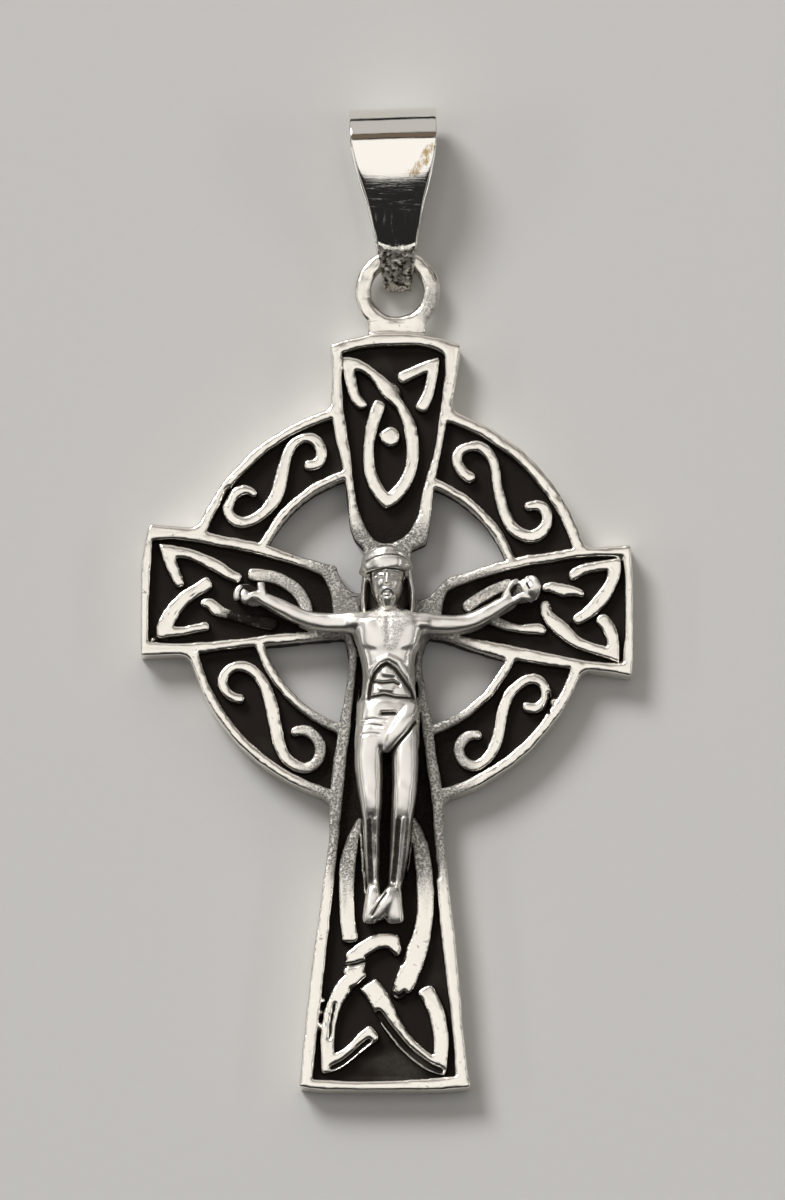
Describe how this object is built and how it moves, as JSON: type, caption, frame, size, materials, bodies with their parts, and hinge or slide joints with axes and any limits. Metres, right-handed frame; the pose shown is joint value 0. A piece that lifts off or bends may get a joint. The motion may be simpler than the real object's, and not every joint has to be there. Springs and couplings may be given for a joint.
{
  "type": "celtic cross pendant",
  "caption": "Cast silver ringed cross pendant with knotwork and scrolls in darkened recesses, a figure on the front and a folded bail, lying on its back.",
  "frame": {"origin": "centre of the ring on the flat back", "axes": "+X to the right seen from the front, +Y along the shaft towards the bail, +Z out of the front"},
  "size_m": [0.0281, 0.0567, 0.0044],
  "materials": {
    "cast_silver": "polished with darkened recesses",
    "bail_silver": "polished"
  },
  "bodies": {
    "root": {"cross": "cast_silver", "bail": "bail_silver"}
  },
  "joints": []
}
